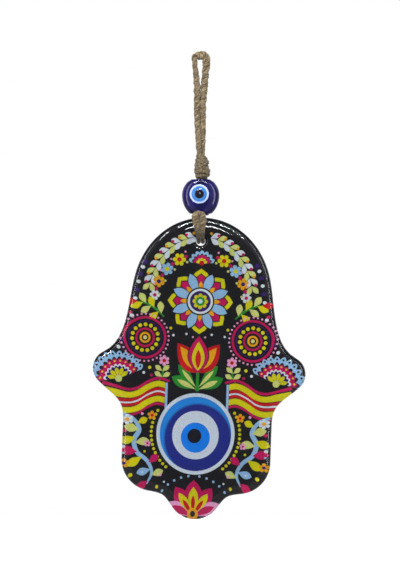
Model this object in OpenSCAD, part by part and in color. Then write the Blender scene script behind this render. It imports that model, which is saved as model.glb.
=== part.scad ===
// Fused-glass hamsa hand hung from a jute cord under a lampworked eye bead.
// The origin is the spot under the crown of the loop where a nail bears.
// +Z is up, the front of the hand faces -Y, and +X is to the viewer's right.

/* [Glass hand] */
// Height of the hand, from the top of the dome to the fingertip
hand_h = 147.8; // [138:0.2:160]
// Width across the two thumb tips
hand_w = 104.2; // [96:0.2:120]
// Half width of the ellipse that the dome follows
dome_a = 34.3; // [31:0.1:37]
// Depth of the ellipse that the dome follows
dome_b = 39; // [34:0.5:44]
// Drop from the top of the hand to the thumb tips
thumb_drop = 75.1; // [70:0.1:79]
// Radius of a thumb's tip
thumb_r = 8.8; // [7:0.1:11]
// Width of the hand at the waist, just below the thumbs
waist_w = 72.9; // [68:0.1:78]
// Drop from the top of the hand to the waist
waist_drop = 100; // [96:0.1:104]
// Width of the hand at the two lower shoulders
hip_w = 73; // [68:0.2:77]
// Drop from the top of the hand to where the lower shoulders turn in
hip_drop = 119; // [114:0.5:123]
// Radius of the lower shoulders
hip_r = 15.7; // [12:0.1:17]
// Radius of the middle fingertip
finger_r = 13; // [10:0.5:14]

/* [Glass layers] */
// Thickness of the clear front glass
clear_t = 4.2; // [3.8:0.1:6]
// Thickness of the fired enamel picture between the two glasses
enamel_t = 0.3; // [0.2:0.1:0.6]
// Thickness of the dark backing glass
back_t = 1.5; // [1.2:0.1:3]
// Depth of the fire-rounded shoulder round the front
shoulder_t = 3; // [2:0.1:3.2]
// Reach of that shoulder in from the edge
shoulder_w = 4.4; // [2:0.1:5]
// Radius round the rim of the back
back_round = 0.7; // [0.4:0.1:1]
// How far the enamel stops short of the edge of the glass
enamel_margin = 1.2; // [0.6:0.1:2]

/* [Cord hole] */
// Diameter of the hole that the cord is hitched through
hole_d = 4.6; // [4.4:0.1:6]
// Drop from the top of the hand to the middle of the hole
hole_drop = 11.5; // [11:0.1:13]
// How far left of the middle of the hand the hole was drilled
hole_offset = 1.6; // [0:0.1:3.5]
// Radius of the fire-rounded rim at the front of the hole
rim_r = 2.1; // [1.4:0.1:2.4]
// Lean at which the off-centre hand hangs, clockwise from the front
hang_lean = 2.1; // [0:0.1:4]

/* [Enamel eye] */
// Width of the pale rim round the enamel eye
eye_rim_w = 38.4; // [37:0.2:42]
// Width of the navy field
eye_navy_w = 35; // [30:0.2:36.4]
// Width of the white ring
eye_white_w = 22.8; // [18:0.2:27]
// Width of the bright blue iris
eye_iris_w = 14.2; // [11:0.2:16]
// Width of the black pupil
eye_pupil_w = 6.8; // [4:0.2:8]
// Height of the eye's rings as a share of their width
eye_tall = 1.04; // [1:0.01:1.05]
// Height of the middle of the pale rim above the fingertip
eye_rise = 41.8; // [38:0.2:46]
// How far left of the middle of the hand the picture was laid
print_shift = 0.7; // [0:0.1:1.5]
// How far the white ring sits below the middle of the rim
white_sink = 0.6; // [0:0.1:1.5]
// How far the iris sits below the middle of the rim
iris_sink = 1.8; // [0:0.1:3]
// How far the pupil sits below the middle of the rim
pupil_sink = 1; // [0:0.1:3]
// How far the pupil sits left of the middle of the rim
pupil_shift = 0.5; // [0:0.1:1]

/* [Eye bead] */
// Width of the bead across its belly
bead_w = 18.4; // [17:0.2:20]
// Thickness of the bead from front to back
bead_t = 11; // [10:0.2:13]
// Height of the bead along the cord
bead_h = 17.7; // [17.2:0.1:19.5]
// Drop from the flat top of the bead to its belly
belly_drop = 7.8; // [7.4:0.1:8.2]
// Width of the bead's foot
bead_foot_w = 8.2; // [7:0.1:8.8]
// Diameter of the bore for the two strands
bead_bore_d = 5.4; // [5.2:0.1:5.8]
// Diameter of the white drop of the bead's eye
drop_white_d = 9.4; // [9:0.1:11]
// Diameter of the light blue drop on it
drop_blue_d = 7.6; // [6:0.1:8]
// Diameter of the black pupil drop on that
drop_pupil_d = 4.4; // [3:0.1:5]
// How far each drop stands proud of the one under it
drop_proud = 0.2; // [0.1:0.05:0.4]
// How far the eye sits left of the middle of the bead
drop_shift = 0.7; // [0:0.1:1]
// How far the eye sits above the belly of the bead
drop_rise = 0.4; // [0:0.1:0.8]

/* [Jute cord] */
// Diameter of the cord where it hangs loose
cord_d = 2.9; // [2.5:0.1:3]
// Diameter of the cord where it is drawn tight in the bead
tight_d = 2.2; // [1.8:0.1:2.3]
// Height of the stop knot
knot_h = 10.8; // [9.6:0.2:13]
// Width of the stop knot
knot_w = 8; // [7.4:0.1:9]
// Free length of cord between the bead's foot and the top of the hand
foot_gap = 1.2; // [1.1:0.1:3]
// Clearance between pieces that turn past each other
gap = 0.3; // [0.25:0.05:0.4]

/* [Hidden] */

jute = [0.60, 0.52, 0.38];
navy = [0.10, 0.08, 0.38];
white = [0.86, 0.88, 0.94];
sky = [0.32, 0.60, 0.90];
black = [0.07, 0.07, 0.08];

// Heights along the cord, measured down from the nail
legs_end = 47.5;
bead_top_z = -(legs_end + knot_h + gap);
belly_z = bead_top_z - belly_drop;
bead_foot_z = bead_top_z - bead_h;
hole_z = bead_foot_z - foot_gap - hole_drop;

// The hand hangs in front of the two strands that rise behind it
hitch_d = 2.6;
hand_t = back_t + enamel_t + clear_t;
back_y = -(hitch_d / 2 + gap);
front_y = back_y - hand_t;

// Route of the loop from the knot up the left leg, over the nail and down again.
// Each point is [x, y, z, thickness as a share of cord_d].
loop_route = [
    [-0.8, -0.9, -47.5, 0.80], [-0.8, -0.9, -46.0, 0.82], [-1.1, -0.7, -42, 0.88], [-1.5, -0.3, -35, 0.90],
    [-1.8, 0, -27, 0.98], [-1.85, 0, -20, 1.00], [-1.8, 0, -13, 1.10], [-2.4, 0, -6, 0.96],
    [-3.0, 0, -1, 0.90], [-2.7, 0, 1.4, 1.10], [-1.4, 0, 2.4, 1.28], [0, 0, 2.2, 1.50],
    [1.4, 0, 2.3, 1.36], [2.6, 0, 1.2, 1.30], [2.8, 0, -1.5, 1.26], [2.4, 0, -6, 1.14],
    [1.8, 0, -13, 1.12], [1.3, 0, -20, 1.04], [1.2, 0, -27, 0.98], [1.2, 0.3, -35, 0.90],
    [1.0, 0.8, -42, 0.86], [0.8, 0.9, -46.0, 0.82], [0.8, 0.9, -47.5, 0.80]
];

// Half the route of the hitch, from a tail in the bead down behind the glass to the hole.
// Each point is [x, y, z from the middle of the hole, diameter].
tail_route = [
    [1.15, 0, 14.6, 2.2], [1.15, 0, 12.6, 2.2], [1.37, 0, 10, 2.6], [1.42, 0, 6.2, 2.6],
    [1.15, 0, 3.9, 2.2], [1.0, -0.9, 1.4, 1.7], [0.95, -2.7, 0.6, 1.7]
];
// The same strand from the front of the hole up to the arch, with y from the face of the glass
face_route = [
    [0.95, 2.4, 0.6, 1.7], [0.97, -0.1, 1.7, 1.7], [1.2, -1.3, 3.6, 2.0], [1.45, -1.7, 6, 2.6],
    [1.8, -1.8, 9, 3.0], [1.95, -1.6, 11.6, 3.2], [1.3, -0.9, 13.0, 2.9]
];
arch_route = [[-0.1, -0.3, 13.4, 2.8]];
// Lean of the hitch to the viewer's left, per unit of height above the hole
hitch_skew = -0.065;

// Angles where the arcs of the hand's outline hand over to its sweeps
dome_turn = 67.5;
thumb_top = 63;
thumb_under = -46;
hip_turn = -82;
finger_turn = -37;
// How full the sweeps between the arcs are, as a share of the distance that each spans
flank_fullness = 0.99;
crook_fullness = 1.39;
valley_fullness = 1.63;

function unit(v) = v / norm(v);
function turn_at(a) = [sin(a), -cos(a)];
function arc_points(c, r, a, b, n) = [for (i = [0:n]) c + r * [cos(a + (b - a) * i / n), sin(a + (b - a) * i / n)]];
function sweep_points(p, u, q, v, full, n) =
    let (m = full * norm(q - p))
    [for (i = [1:n - 1]) let (t = i / n)
        (2 * t * t * t - 3 * t * t + 1) * p + (t * t * t - 2 * t * t + t) * m * u
        + (3 * t * t - 2 * t * t * t) * q + (t * t * t - t * t) * m * v];

// Right half of the hand's outline, from the top of the dome down to the fingertip
dome = [for (a = [0:4.5:dome_turn]) [dome_a * sin(a), -dome_b * (1 - cos(a))]];
dome_way = unit([dome_a * cos(dome_turn), -dome_b * sin(dome_turn)]);
thumb = arc_points([hand_w / 2 - thumb_r, -thumb_drop], thumb_r, thumb_top, thumb_under, 10);
waist = [waist_w / 2, -waist_drop];
hip = arc_points([hip_w / 2 - hip_r, -hip_drop], hip_r, 0, hip_turn, 9);
side_way = unit([hip_w / 2, -hip_drop] - waist);
fingertip = arc_points([0, finger_r - hand_h], finger_r, finger_turn, -90, 5);
right_half = concat(
    dome,
    sweep_points(dome[len(dome) - 1], dome_way, thumb[0], turn_at(thumb_top), flank_fullness, 12),
    thumb,
    sweep_points(thumb[10], turn_at(thumb_under), waist, side_way, crook_fullness, 8),
    [waist],
    hip,
    sweep_points(hip[9], turn_at(hip_turn), fingertip[0], turn_at(finger_turn), valley_fullness, 9),
    fingertip
);
last = len(right_half) - 1;
outline = concat(right_half, [for (i = [last - 1:-1:1]) [-right_half[i][0], right_half[i][1]]]);

// The outline drawn in by d, square to its own run
function inset(points, d) =
    let (n = len(points))
    [for (i = [0:n - 1])
        let (way = unit(points[(i + 1) % n] - points[(i + n - 1) % n]))
        points[i] + d * [way[1], -way[0]]];

// A closed solid through a stack of rings that all have as many points, whose ends are
// closed by strips across from one side of the ring to the other
function cap(n, first) = [for (i = [0:n / 2 - 1])
    [for (k = i == 0 ? [0, 1, n - 1] : i == n / 2 - 1 ? [i, i + 1, n - i] : [i, i + 1, n - i - 1, n - i]) first + k]];
function reversed(faces) = [for (f = faces) [for (i = [len(f) - 1:-1:0]) f[i]]];
function stack_faces(rows, n) = concat(
    reversed(cap(n, 0)),
    [for (r = [0:rows - 2], i = [0:n - 1])
        let (j = (i + 1) % n) [r * n + i, r * n + j, (r + 1) * n + j, (r + 1) * n + i]],
    cap(n, (rows - 1) * n)
);

module stack_solid(rings, flip = false) {
    points = [for (ring = rings, p = ring) p];
    faces = stack_faces(len(rings), len(rings[0]));
    polyhedron(points, flip ? reversed(faces) : faces, convexity = 6);
}

// Smooth run through the points of a route, with steps rings to each stretch
function between(p0, p1, p2, p3, t) =
    0.5 * (2 * p1 + (p2 - p0) * t + (2 * p0 - 5 * p1 + 4 * p2 - p3) * t * t
    + (3 * p1 - p0 - 3 * p2 + p3) * t * t * t);
function smooth_route(r, steps) =
    let (n = len(r))
    concat(
        [for (i = [0:n - 2], s = [0:steps - 1])
            between(r[max(i - 1, 0)], r[i], r[i + 1], r[min(i + 2, n - 1)], s / steps)],
        [r[n - 1]]
    );
function spot(p) = [p[0], p[1], p[2]];
function way_at(r, i) = unit(spot(r[min(i + 1, len(r) - 1)]) - spot(r[max(i - 1, 0)]));
function squared(v, way) = unit(v - (v * way) * way);

// A cord as one tube along a route whose fourth number is its diameter there
module cord_tube(route, first_side, sides = 8) {
    n = len(route);
    ways = [for (i = [0:n - 1]) way_at(route, i)];
    aside = [for (i = 0, v = squared(first_side, ways[0]); i < n;
        i = i + 1, v = i < n ? squared(v, ways[i]) : v) v];
    rings = [for (i = [0:n - 1])
        let (other = cross(ways[i], aside[i]))
        [for (k = [0:sides - 1])
            spot(route[i]) + route[i][3] / 2 * (cos(360 * k / sides) * aside[i] + sin(360 * k / sides) * other)]];
    stack_solid(rings);
}

module loop_cord() {
    scaled = [for (p = loop_route) [p[0], p[1], p[2], p[3] * cord_d]];
    color(jute) cord_tube(smooth_route(scaled, 3), [0, 1, 0]);
}

// The doubled cord tied in an overhand knot: two turns that cross at the front and the back
// of a core, and one that goes round below them. Each turn is [height, lean, turn, shift].
module stop_knot() {
    strand = 0.4 * knot_w;
    turn_r = (knot_w - strand) / 2;
    core_r = 0.29 * knot_w;
    turns = [[0.60, 36, 8, 0.5], [0.54, -32, -10, 0.4], [0.25, 8, 12, 0.6]];
    color(jute) translate([0, 0, -legs_end - knot_h]) {
        cylinder(r = core_r, h = knot_h, $fn = 32);
        for (turn = turns)
            translate([turn[3], 0, turn[0] * knot_h])
                rotate([turn[2], turn[1], 0])
                    rotate_extrude($fn = 36) translate([turn_r, 0]) circle(d = strand, $fn = 18);
    }
}

module bead_strands() {
    run = belly_drop + 6.4 + gap;
    color(jute) for (side = [-1, 1])
        translate([side * (tight_d / 2 + 0.05), 0, -legs_end - knot_h - run])
            cylinder(d = tight_d, h = run, $fn = 20);
}

// The cord hitched through the hole: two tails behind the glass, two legs up its face, and the arch
module hitch_cord() {
    on_face = [for (p = face_route) [p[0], p[1] + front_y, p[2], p[3]]];
    right = concat(tail_route, on_face);
    left = [for (i = [len(right) - 1:-1:0]) [-right[i][0], right[i][1], right[i][2], right[i][3]]];
    arch = [for (p = arch_route) [p[0], p[1] + front_y, p[2], p[3]]];
    whole = concat(right, arch, left);
    skewed = [for (p = whole) [p[0] + (p[1] < front_y + 1 ? hitch_skew * p[2] : 0), p[1], p[2] + hole_z, p[3]]];
    color(jute) cord_tube(smooth_route(skewed, 3), [1, 0, 0]);
}

// Half width of the bead at height z above its belly: a ball that runs out below in the half of
// a longer ellipse, cut off at the foot
ball_r = bead_w / 2;
foot_drop = bead_h - belly_drop;
foot_reach = foot_drop / sqrt(1 - pow(bead_foot_w / bead_w, 2));
function bead_half(z) = z > 0
    ? sqrt(ball_r * ball_r - z * z)
    : ball_r * sqrt(1 - pow(z / foot_reach, 2));
// The same from front to back, where the ball was pressed flat
press_r = (bead_t / 2) / pow(1 - pow(bead_t / 2 / ball_r, 4), 0.25);
function bead_deep(a) = a * press_r / pow(pow(a, 4) + pow(press_r, 4), 0.25);
function bead_ring(a, z, n) =
    [for (i = [0:n - 1])
        let (t = 360 * i / n, c = cos(t), s = sin(t), b = bead_deep(a))
        [a * sign(c) * pow(abs(c), 0.9), b * sign(s) * pow(abs(s), 0.9), z]];

// Where the drops of the bead's eye are seated, measured from the middle of the bead
seat_white = bead_t / 2 - 1.9;
seat_blue = bead_t / 2 - 1.2;
seat_pupil = bead_t / 2 - 0.6;

module drop_seats(d, seat) {
    for (turn = [0, 180])
        translate([0, 0, belly_z]) rotate([0, 0, turn]) rotate([90, 0, 0])
            translate([-drop_shift, drop_rise, seat]) cylinder(d = d, h = bead_t, $fn = 48);
}

// A drop of glass with a flat back and a domed face, on the front and on the back of the bead
module drops(d, seat, rim, crown) {
    dome_h = crown - rim;
    face_r = (d * d / 4 + dome_h * dome_h) / (2 * dome_h);
    half_turn = asin(d / 2 / face_r);
    profile = concat(
        [[0, seat], [d / 2, seat]],
        [for (i = [0:6]) let (a = half_turn * (1 - i / 6)) [face_r * sin(a), crown - face_r * (1 - cos(a))]]
    );
    for (turn = [0, 180])
        translate([0, 0, belly_z]) rotate([0, 0, turn]) rotate([90, 0, 0])
            translate([-drop_shift, drop_rise, 0]) rotate_extrude($fn = 48) polygon(profile);
}

module bead_body() {
    top = belly_drop;
    edge = 0.5;
    heights = concat([for (i = [0:14]) -foot_drop + edge + (bead_h - 2 * edge) * i / 14]);
    rings = concat(
        [bead_ring(bead_half(-foot_drop) - edge, -foot_drop, 36)],
        [for (z = heights) bead_ring(bead_half(z), z, 36)],
        [bead_ring(bead_half(top) - edge, top, 36)]
    );
    color(navy) difference() {
        translate([0, 0, belly_z]) stack_solid(rings);
        translate([0, 0, bead_foot_z - 1]) cylinder(d = bead_bore_d, h = bead_h + 2, $fn = 40);
        drop_seats(drop_white_d, seat_white);
    }
}

module bead_white_drops() {
    color(white) difference() {
        drops(drop_white_d, seat_white, bead_t / 2 - 0.6, bead_t / 2 + 0.1);
        drop_seats(drop_blue_d, seat_blue);
    }
}

module bead_blue_drops() {
    color(sky) difference() {
        drops(drop_blue_d, seat_blue, bead_t / 2 - 0.1, bead_t / 2 + 0.1 + drop_proud);
        drop_seats(drop_pupil_d, seat_pupil);
    }
}

module bead_pupil_drops() {
    color(black) drops(drop_pupil_d, seat_pupil, bead_t / 2 + 0.15, bead_t / 2 + 0.1 + 2 * drop_proud);
}

// Carries what is drawn flat, with its origin at the top of the hand, to the hanging hand.
// Heights above the drawing are measured forwards from the back of the hand.
module hung() {
    translate([0, back_y, hole_z]) rotate([90, 0, 0]) rotate([0, 0, -hang_lean])
        translate([hole_offset, hole_drop, 0]) children();
}

// What is drilled and fire-rounded away for the cord: a bore with a round rim at height z,
// which opens forwards, or backwards where mirrored
module cord_hole(low, z, r) {
    bore = hole_d / 2;
    rim = [for (i = [0:6]) let (a = 180 - 15 * i) [bore + r + r * cos(a), z - r + r * sin(a)]];
    translate([-hole_offset, -hole_drop, 0])
        rotate_extrude($fn = 64) polygon(concat([[0, low], [bore, low]], rim, [[bore + r, z + 1], [0, z + 1]]));
}

function lifted(points, z) = [for (p = points) [p[0], p[1], z]];

enamel_low = back_t;
enamel_high = back_t + enamel_t;

module clear_glass() {
    shoulder_low = hand_t - shoulder_t;
    rings = concat(
        [lifted(outline, enamel_low)],
        [for (i = [0:7]) let (a = 90 * i / 7)
            lifted(inset(outline, shoulder_w * (1 - cos(a))), shoulder_low + shoulder_t * sin(a))]
    );
    color([0.85, 0.93, 0.95, 0.35]) hung() difference() {
        stack_solid(rings, flip = true);
        translate([0, 0, enamel_low - 1]) linear_extrude(enamel_t + 1) difference() {
            polygon(inset(outline, enamel_margin));
            translate([-hole_offset, -hole_drop]) circle(d = hole_d + 2 * enamel_margin, $fn = 64);
        }
        cord_hole(enamel_low - 1, hand_t, rim_r);
    }
}

module backing_glass() {
    rings = concat(
        [for (i = [0:4]) let (a = 90 * i / 4)
            lifted(inset(outline, back_round * (1 - sin(a))), back_round * (1 - cos(a)))],
        [lifted(outline, back_t)]
    );
    color([0.10, 0.10, 0.12]) hung() difference() {
        stack_solid(rings, flip = true);
        mirror([0, 0, 1]) cord_hole(-back_t - 1, 0, back_round);
    }
}

// Enamel of one colour, cut short of the hole and of the edge of the glass
module enamel() {
    hung() translate([0, 0, enamel_low]) linear_extrude(enamel_t) children();
}

// One ring of the printed eye as a filled oval
module eye_disc(w, sink, shift = 0) {
    translate([-print_shift - shift, eye_rise - hand_h - sink])
        polygon([for (a = [0:5:355]) w / 2 * [cos(a), eye_tall * sin(a)]]);
}

module enamel_ground() {
    color(black) enamel() difference() {
        polygon(inset(outline, enamel_margin));
        translate([-hole_offset, -hole_drop]) circle(d = hole_d + 2 * enamel_margin, $fn = 64);
        eye_disc(eye_rim_w, 0);
    }
}

module enamel_eye_rim() {
    color(white) enamel() difference() {
        eye_disc(eye_rim_w, 0);
        eye_disc(eye_navy_w, 0);
    }
}

module enamel_eye_navy() {
    color([0.16, 0.17, 0.55]) enamel() difference() {
        eye_disc(eye_navy_w, 0);
        eye_disc(eye_white_w, white_sink);
    }
}

module enamel_eye_white() {
    color(white) enamel() difference() {
        eye_disc(eye_white_w, white_sink);
        eye_disc(eye_iris_w, iris_sink);
    }
}

module enamel_eye_iris() {
    color([0.08, 0.47, 0.88]) enamel() difference() {
        eye_disc(eye_iris_w, iris_sink);
        eye_disc(eye_pupil_w, pupil_sink, pupil_shift);
    }
}

module enamel_eye_pupil() {
    color(black) enamel() eye_disc(eye_pupil_w, pupil_sink, pupil_shift);
}

loop_cord();
stop_knot();
bead_strands();
hitch_cord();
bead_body();
bead_white_drops();
bead_blue_drops();
bead_pupil_drops();
clear_glass();
enamel_ground();
enamel_eye_rim();
enamel_eye_navy();
enamel_eye_white();
enamel_eye_iris();
enamel_eye_pupil();
backing_glass();
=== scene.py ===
import bpy
import bmesh
import random
from math import copysign, cos, dist, hypot, log, pi, radians, sin, sqrt
import numpy as np
from mathutils import Matrix, Vector
from mathutils.geometry import delaunay_2d_cdt


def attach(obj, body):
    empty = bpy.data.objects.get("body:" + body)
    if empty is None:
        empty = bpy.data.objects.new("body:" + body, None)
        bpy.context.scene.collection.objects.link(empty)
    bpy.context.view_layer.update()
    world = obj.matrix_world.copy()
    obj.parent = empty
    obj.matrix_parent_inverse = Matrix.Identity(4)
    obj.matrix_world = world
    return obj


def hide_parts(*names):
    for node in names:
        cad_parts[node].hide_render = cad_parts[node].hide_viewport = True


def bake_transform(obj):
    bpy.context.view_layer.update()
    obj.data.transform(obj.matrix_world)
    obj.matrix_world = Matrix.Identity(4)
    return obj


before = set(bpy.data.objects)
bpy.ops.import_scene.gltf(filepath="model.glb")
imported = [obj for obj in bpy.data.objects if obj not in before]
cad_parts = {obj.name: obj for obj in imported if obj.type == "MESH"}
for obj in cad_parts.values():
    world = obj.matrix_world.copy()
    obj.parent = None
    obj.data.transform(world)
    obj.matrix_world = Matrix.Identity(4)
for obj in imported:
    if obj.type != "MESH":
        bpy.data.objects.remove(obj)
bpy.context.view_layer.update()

MM = 0.001

# Sizes repeated from the part's source, in millimetres
HAND_H, HAND_W = 147.8, 104.2
HAND_T, BACK_T, ENAMEL_T = 6.0, 1.5, 0.3
SHOULDER_T, SHOULDER_W = 3.0, 4.4
HOLE_D, HOLE_DROP, HOLE_OFFSET, RIM_R = 4.6, 11.5, 1.6, 2.1
HANG_LEAN = 2.1
PRINT_SHIFT, EYE_V, EYE_R, EYE_TALL = 0.7, 41.8 - HAND_H, 19.21, 1.04
BACK_Y = -1.6
FRONT_Y = BACK_Y - HAND_T
HOLE_Z = -89.0
BELLY_Z, BEAD_TOP_Z, BEAD_FOOT_Z = -66.4, -58.6, -76.3


# Camera, straight in front. Its distance and the height that it sees there are in metres.

camera_data = bpy.data.cameras.new("camera")
camera = bpy.data.objects.new("camera", camera_data)
bpy.context.scene.collection.objects.link(camera)
CAMERA_D, VIEW_H, SENSOR = 1.4, 0.2793, 36
camera.location = (-0.00034, -CAMERA_D - 0.0046, -0.1105)
camera.rotation_euler = (radians(90), 0, 0)
camera_data.sensor_width = SENSOR
camera_data.lens = SENSOR * CAMERA_D / VIEW_H
camera_data.clip_start = 0.05
camera_data.clip_end = 20
bpy.context.scene.camera = camera


# Helpers

def linear(hex_colour):
    """The shader's values for a colour as a screen shows it."""
    values = [int(hex_colour[i:i + 2], 16) / 255 for i in (0, 2, 4)]
    return tuple(v / 12.92 if v <= 0.04045 else ((v + 0.055) / 1.055) ** 2.4 for v in values) + (1.0,)


def new_object(name, mesh):
    o = bpy.data.objects.new(name, mesh)
    bpy.context.scene.collection.objects.link(o)
    return o


def mesh_of(name, points, faces, smooth=True):
    """A mesh from points in millimetres."""
    mesh = bpy.data.meshes.new(name)
    mesh.from_pydata([tuple(c * MM for c in p) for p in points], [], faces)
    mesh.validate()
    mesh.update()
    for f in mesh.polygons:
        f.use_smooth = smooth
    return mesh


def sharpen(mesh, degrees):
    """Edges that turn by more than so many degrees stay sharp."""
    bm = bmesh.new()
    bm.from_mesh(mesh)
    bmesh.ops.recalc_face_normals(bm, faces=bm.faces)
    for e in bm.edges:
        e.smooth = not (len(e.link_faces) == 2 and e.calc_face_angle(0) > radians(degrees))
    bm.to_mesh(mesh)
    bm.free()
    mesh.update()


def catmull(route, step):
    """Smooth run through the points, with a point about every step mm. Each point may carry a diameter."""
    out = []
    n = len(route)
    for i in range(n - 1):
        p0, p1, p2, p3 = (route[max(i - 1, 0)], route[i], route[i + 1], route[min(i + 2, n - 1)])
        length = dist(p1[:3], p2[:3])
        count = max(2, int(length / step))
        for s in range(count):
            t = s / count
            out.append([0.5 * (2 * b + (c - a) * t + (2 * a - 5 * b + 4 * c - d) * t * t
                               + (3 * b - a - 3 * c + d) * t ** 3)
                        for a, b, c, d in zip(p0, p1, p2, p3)])
    out.append(list(route[-1]))
    return out


def circle_at(cx, cy, r, n):
    """n points round a circle, anticlockwise."""
    turns = [2 * pi * i / n for i in range(n)]
    return [(cx + r * cos(t), cy + r * sin(t)) for t in turns]


def frames_along(points):
    """The points' places, and at each the way ahead and two directions square to it, with the least twist."""
    n = len(points)
    spots = [Vector(p[:3]) for p in points]
    ways = [(spots[min(i + 1, n - 1)] - spots[max(i - 1, 0)]).normalized() for i in range(n)]
    side = ways[0].orthogonal().normalized()
    found = []
    for way in ways:
        side = (side - way * side.dot(way)).normalized()
        found.append((way, side, way.cross(side)))
    return spots, found


# Materials

def material(name, base, roughness, **sockets):
    """A new material with its tree and its shader. Sockets are named with _ for a space."""
    m = bpy.data.materials.new(name)
    m.use_nodes = True
    shader = m.node_tree.nodes["Principled BSDF"]
    shader.inputs["Base Color"].default_value = base
    shader.inputs["Roughness"].default_value = roughness
    for key, value in sockets.items():
        shader.inputs[key.replace("_", " ")].default_value = value
    return m, m.node_tree, shader


def node(tree, kind, **values):
    """A new node. A value goes to the input of its name, as a link where it is another node's output.
    A name that no input has is a setting of the node."""
    n = tree.nodes.new(kind)
    for key, value in values.items():
        socket = n.inputs.get(key.replace("_", " "))
        if socket is None:
            setattr(n, key, value)
        elif isinstance(value, bpy.types.NodeSocket):
            tree.links.new(value, socket)
        else:
            socket.default_value = value
    return n


def noise(tree, space, **values):
    return node(tree, "ShaderNodeTexNoise", Vector=space, **values).outputs["Fac"]


def object_space(tree):
    return tree.nodes.new("ShaderNodeTexCoord").outputs["Object"]


def mixed(tree, factor, a, b, blend_type="MIX"):
    mix = node(tree, "ShaderNodeMix", data_type="RGBA", blend_type=blend_type, Factor=factor, A=a, B=b)
    return mix.outputs["Result"]


def ramp(tree, source, stops):
    """A colour that runs through the stops of (place, colour)."""
    r = tree.nodes.new("ShaderNodeValToRGB")
    while len(r.color_ramp.elements) < len(stops):
        r.color_ramp.elements.new(0.5)
    for e, (at, colour) in zip(r.color_ramp.elements, stops):
        e.position = at
        e.color = colour
    tree.links.new(source, r.inputs["Fac"])
    return r.outputs["Color"]


def bump(tree, shader, height, strength, distance):
    lumps = node(tree, "ShaderNodeBump", Strength=strength, Distance=distance, Height=height)
    tree.links.new(lumps.outputs["Normal"], shader.inputs["Normal"])


def jute_material():
    """Jute, coloured along its fibres by the rope's lay, and darkened towards dark brown by a painted shade
    where the cord is set in shade.
    """
    m, tree, shader = material("jute", linear("8d8064"), 0.88, Sheen_Weight=0.25, Sheen_Roughness=0.5,
                               Specular_IOR_Level=0.25)
    lay = node(tree, "ShaderNodeAttribute", attribute_name="lay").outputs["Vector"]
    painted_shade = node(tree, "ShaderNodeAttribute", attribute_name="painted_shade").outputs["Fac"]
    fibres = noise(tree, lay, Scale=5.0, Detail=4.0, Roughness=0.62)
    colour = ramp(tree, fibres, [(0.28, linear("2a2015")), (0.43, linear("5d4f38")), (0.55, linear("8b7d61")),
                                 (0.71, linear("d3c4a1"))])
    streaks = noise(tree, lay, Scale=1.5, Detail=3.0, Roughness=0.6)
    shade = ramp(tree, streaks, [(0.34, (0.24, 0.20, 0.16, 1)), (0.47, (0.66, 0.62, 0.56, 1)),
                                 (0.60, (1.08, 1.06, 1.0, 1))])
    shaded = mixed(tree, 1.0, colour, shade, "MULTIPLY")
    # Painted shade: the attribute read above mixes the jute towards dark brown where shade falls on the cord.
    tree.links.new(mixed(tree, painted_shade, shaded, linear("120d07")), shader.inputs["Base Color"])
    bump(tree, shader, fibres, 0.9, 0.00014)
    return m


def clear_glass_material():
    m, tree, shader = material("clear_glass", (0.97, 0.99, 0.985, 1), 0.015, Transmission_Weight=1.0, IOR=1.5)
    bump(tree, shader, noise(tree, object_space(tree), Scale=110.0, Detail=1.5), 0.10, 0.0006)
    return m


def bead_material(name, colours, tint):
    """Opaque lampworked glass with a soft swirl in its colour."""
    m, tree, shader = material(name, colours[0], 0.06, IOR=1.52, Specular_Tint=tint, Coat_Weight=0.2,
                               Coat_Roughness=0.03)
    space = object_space(tree)
    swirl = noise(tree, space, Scale=160.0, Detail=2.0, Distortion=1.6)
    colour = ramp(tree, swirl, [(0.35, colours[0]), (0.68, colours[1])])
    tree.links.new(colour, shader.inputs["Base Color"])
    bump(tree, shader, noise(tree, space, Scale=620.0, Detail=2.0), 0.35, 0.00025)
    return m


def enamel_material(name, hex_colour):
    """Fired enamel seen through the glass that it is fused to, so it has no gloss of its own."""
    base = linear(hex_colour)
    m, tree, shader = material(name, base, 0.6, Specular_IOR_Level=0.0)
    grain = noise(tree, object_space(tree), Scale=1500.0, Detail=3.0)
    low = tuple(max(0, c * 0.86) for c in base[:3]) + (1,)
    high = tuple(min(1, c * 1.10 + 0.004) for c in base[:3]) + (1,)
    colour = ramp(tree, grain, [(0.32, low), (0.68, high)])
    tree.links.new(colour, shader.inputs["Base Color"])
    return m, tree, shader, colour


JUTE = jute_material()
CLEAR = clear_glass_material()


# Jute cord

def store_lay(mesh, lay):
    """Keeps each point's place along and round its ply, which the jute's fibres follow."""
    attribute = mesh.attributes.new("lay", "FLOAT_VECTOR", "POINT")
    for value, v in zip(attribute.data, lay):
        value.vector = v


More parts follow.
